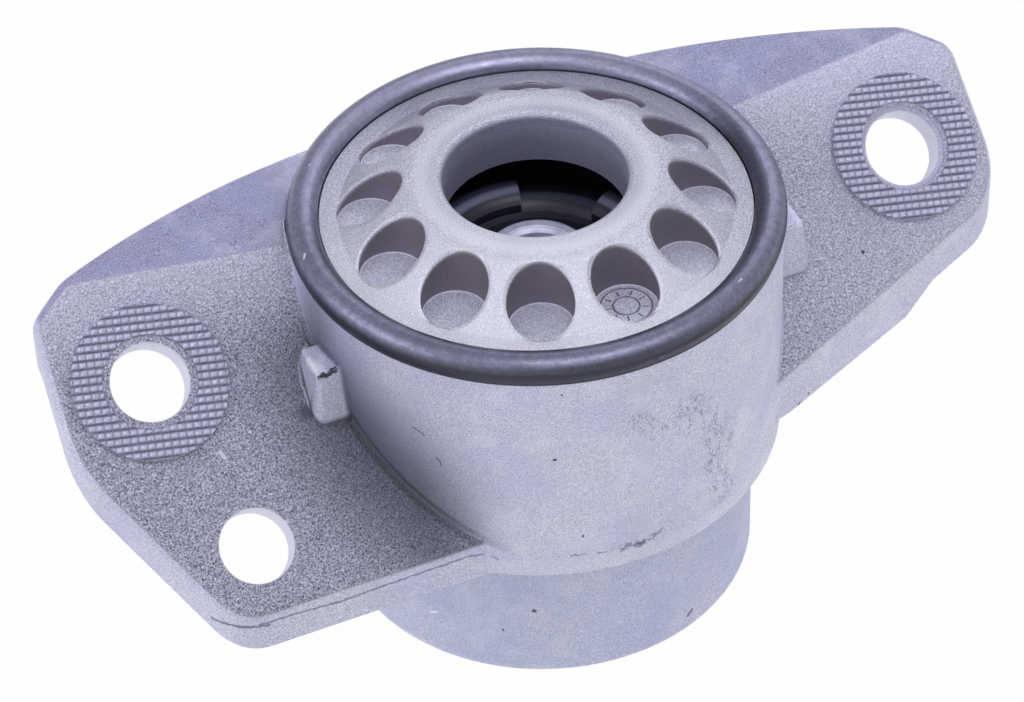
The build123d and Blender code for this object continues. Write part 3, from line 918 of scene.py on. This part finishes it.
@dataclass
class DateDial:
    """Round date mark cast on a pocket's floor: two raised rings with short strokes between them."""

    material: bpy.types.Material
    turn: float = math.radians(-82.5)
    rings: tuple[float, float] = (3.5, 1.8)
    strokes: int = 9
    stroke: tuple[float, float] = (2.15, 3.05)
    first_stroke: float = 0.2
    width: float = 0.15
    tall: float = 0.16
    slim: float = 0.9                # strokes' width against the rings'
    around: int = 72
    arc_points: int = 6

    def build(self) -> bpy.types.Object:
        """Build the rings and strokes as closed bars with a rounded top.

        The bar's section is a half ellipse of the given width and height on a foot sunk in the floor.

        Returns:
            The piece, riding on the housing.
        """
        angle = np.linspace(0.0, math.pi, self.arc_points)
        across = np.concatenate([self.width * np.cos(angle), [-self.width, self.width]])
        up = np.concatenate([self.tall * np.sin(angle), [-self.tall, -self.tall]])
        middle = np.array([math.cos(self.turn), math.sin(self.turn), 0.0]) * POCKET_PITCH_R
        middle[2] = POCKET_FLOOR_Z
        points, faces = [], []
        for radius in self.rings:
            sweep = np.linspace(0.0, TAU, self.around + 1)[:-1]
            reach = radius + across[None, :]
            ring = np.stack([reach * np.cos(sweep)[:, None], reach * np.sin(sweep)[:, None],
                             np.broadcast_to(up, (len(sweep), len(up)))], -1)
            base = sum(map(len, points))
            faces += [[base + corner for corner in face] for face in tube_faces(len(up), len(sweep), True)]
            points.append(ring.reshape(-1, 3) + middle)
        for k in range(self.strokes):
            heading = TAU * k / self.strokes + self.first_stroke
            along = np.array([math.cos(heading), math.sin(heading), 0.0])
            beside = np.array([-along[1], along[0], 0.0])
            section = np.outer(-across * self.slim, beside) + np.outer(up, (0, 0, 1))
            bar = np.stack([reach * along + section for reach in self.stroke])
            base = sum(map(len, points))
            faces += [[base + corner for corner in face] for face in tube_faces(len(up), 2, False)]
            points.append(bar.reshape(-1, 3) + middle)
        piece = surface("date_dial", np.concatenate(points), faces, self.material, False)
        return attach(piece, "root")


@dataclass
class Flange:
    """What the casting has beside the CAD housing: knurled pads and rounds in its corners."""

    housing: bpy.types.Material

    def build(self) -> list[bpy.types.Object]:
        """Build the pad of both wings, and the round between each face and the pot.

        Returns:
            The pieces.
        """
        pieces = []
        for side in Side:
            pieces.append(KnurledPad(side, self.housing).build())
            name = f"face_root_{side.name.lower()}"
            start, end = FACE_SPAN[side]
            pieces.append(RootFillet(name, FACE_ORIGIN, FACE_NORMAL, start, end, self.housing).build())
        return pieces


@dataclass(frozen=True)
class Lamp:
    """One square soft lamp that looks at the object: its place and size in metres."""

    name: str
    place: Point
    size: float
    watts: float


LAMPS = (
    Lamp("lamp_left", (-0.95, 0.1, 0.68), 0.6, 2.6),
    Lamp("lamp_right", (0.75, 0.75, 0.8), 0.8, 2.4),
    Lamp("lamp_top", (0.1, -0.42, 1.15), 0.6, 4.0),
)


@dataclass
class Studio:
    """Pale floor, soft lamps and the photograph's camera."""

    floor_half: float = 4.0
    floor_white: str = "#FAFAFC"
    floor_glow: float = 0.97         # share of plain white that the camera sees, the rest is lit and shaded
    room_front: str = "#DCDCE9"
    room_back: str = "#BCBCC9"
    doorway: Point = (0.1, -0.98, 0.2)
    doorway_dark: str = "#7E7E88"
    lamp_white: str = "#F0F0FF"
    camera_mm: Point = (-164.537, -386.838, 418.402)
    right: Point = (0.91382497, -0.40519684, -0.02719287)
    up: Point = (0.29172943, 0.60839402, 0.73807225)
    back: Point = (-0.28252056, -0.68240181, 0.67417349)
    lens: float = 140.625
    sensor: float = 36.0

    def build(self) -> None:
        """Set the floor, lamps, sky and camera."""
        self.floor()
        self.sky()
        self.lamps()
        self.camera()
        bpy.context.scene.view_settings.view_transform = "Standard"

    def floor(self) -> None:
        """White table top that still takes the object's shadow."""
        material = bpy.data.materials.new("white_table")
        material.use_nodes = True
        tree = material.node_tree
        tree.nodes.clear()
        paths = add(tree, "ShaderNodeLightPath").node
        seen = paths.outputs["Is Camera Ray"]
        for name in ("Is Glossy Ray", "Is Transmission Ray"):
            seen = add(tree, "ShaderNodeMath", [seen, paths.outputs[name]], operation="MAXIMUM")
        share = add(tree, "ShaderNodeMath", [seen, self.floor_glow], operation="MULTIPLY")
        matt = add(tree, "ShaderNodeBsdfDiffuse", {"Color": linear(self.floor_white)})
        glow = add(tree, "ShaderNodeEmission", {"Color": linear("#FFFFFF"), "Strength": 1.0})
        add(tree, "ShaderNodeOutputMaterial", [add(tree, "ShaderNodeMixShader", [share, matt, glow])])
        h = self.floor_half
        mesh = bpy.data.meshes.new("table_top")
        mesh.from_pydata([(-h, -h, 0), (h, -h, 0), (h, h, 0), (-h, h, 0)], [], [(0, 1, 2, 3)])
        mesh.materials.append(material)
        table = bpy.data.objects.new("table_top", mesh)
        bpy.context.scene.collection.objects.link(table)

    def sky(self) -> None:
        """Soft bluish-grey room, paler in front, with a dark doorway low there, which the round edges mirror."""
        world = bpy.data.worlds.new("studio_room")
        bpy.context.scene.world = world
        world.use_nodes = True
        tree = world.node_tree
        tree.nodes.clear()
        direction = add(tree, "ShaderNodeTexCoord", out="Generated")
        depth = add(tree, "ShaderNodeSeparateXYZ", [direction], out="Y")
        share = add(tree, "ShaderNodeMapRange", [depth, -0.4, 0.6, 0.0, 1.0], interpolation_type="SMOOTHSTEP")
        ends = {0: share, 6: linear(self.room_front), 7: linear(self.room_back)}
        room = add(tree, "ShaderNodeMix", ends, out=2, data_type="RGBA")
        doorway = np.array(self.doorway) / np.linalg.norm(self.doorway)
        facing = add(tree, "ShaderNodeVectorMath", [direction, tuple(doorway)], out="Value", operation="DOT_PRODUCT")
        dark = add(tree, "ShaderNodeMapRange", [facing, 0.6, 0.92, 0.0, 1.0], interpolation_type="SMOOTHSTEP")
        ends = {0: dark, 6: room, 7: linear(self.doorway_dark)}
        colour = add(tree, "ShaderNodeMix", ends, out=2, data_type="RGBA")
        add(tree, "ShaderNodeOutputWorld", [add(tree, "ShaderNodeBackground", {"Color": colour, "Strength": 1.0})])

    def lamps(self) -> None:
        """Three large soft lamps: left, right and above."""
        for lamp in LAMPS:
            light = bpy.data.lights.new(lamp.name, "AREA")
            light.size = lamp.size
            light.energy = lamp.watts
            light.color = linear(self.lamp_white)[:3]
            stand = bpy.data.objects.new(lamp.name, light)
            back = np.array(lamp.place) / np.linalg.norm(lamp.place)
            side = np.cross((0, 0, 1), back)
            side /= np.linalg.norm(side)
            turn = np.column_stack([side, np.cross(back, side), back])
            stand.matrix_world = Matrix([(*row, p) for row, p in zip(turn.tolist(), lamp.place)] + [(0, 0, 0, 1)])
            bpy.context.scene.collection.objects.link(stand)

    def camera(self) -> None:
        """Camera at the photograph's place."""
        data = bpy.data.cameras.new("camera")
        data.lens = self.lens
        data.sensor_width = self.sensor
        data.clip_start = 0.01
        data.clip_end = 50.0
        camera = bpy.data.objects.new("camera", data)
        rows = [(r, u, b, p * MM) for r, u, b, p in zip(self.right, self.up, self.back, self.camera_mm)]
        camera.matrix_world = Matrix([*rows, (0, 0, 0, 1)])
        bpy.context.scene.collection.objects.link(camera)
        bpy.context.scene.camera = camera


def dress(node: str, material: bpy.types.Material) -> None:
    """Give a CAD node its finish.

    Args:
        node: The node's name in the frame.
        material: The finish.
    """
    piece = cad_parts[node]
    if not piece.material_slots:
        piece.data.materials.append(material)
    for slot in piece.material_slots:
        slot.material = material
    log.info("%s wears %s", node, material.name)


def main() -> None:
    """Build the studio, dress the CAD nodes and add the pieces."""
    Studio().build()
    housing = CastHousing().make()
    cover = CastCover().make()
    dress("housing", housing)
    dress("cover", cover)
    dress("bush", BushRubber().make())
    dress("core", TurnedCore().make())
    for piece in (*Flange(housing).build(), DateDial(cover).build()):
        log.info("%s: %d faces", piece.name, len(piece.data.polygons))


if __name__ == "__main__":
    logging.basicConfig(level=logging.INFO, format="%(message)s")
    main()
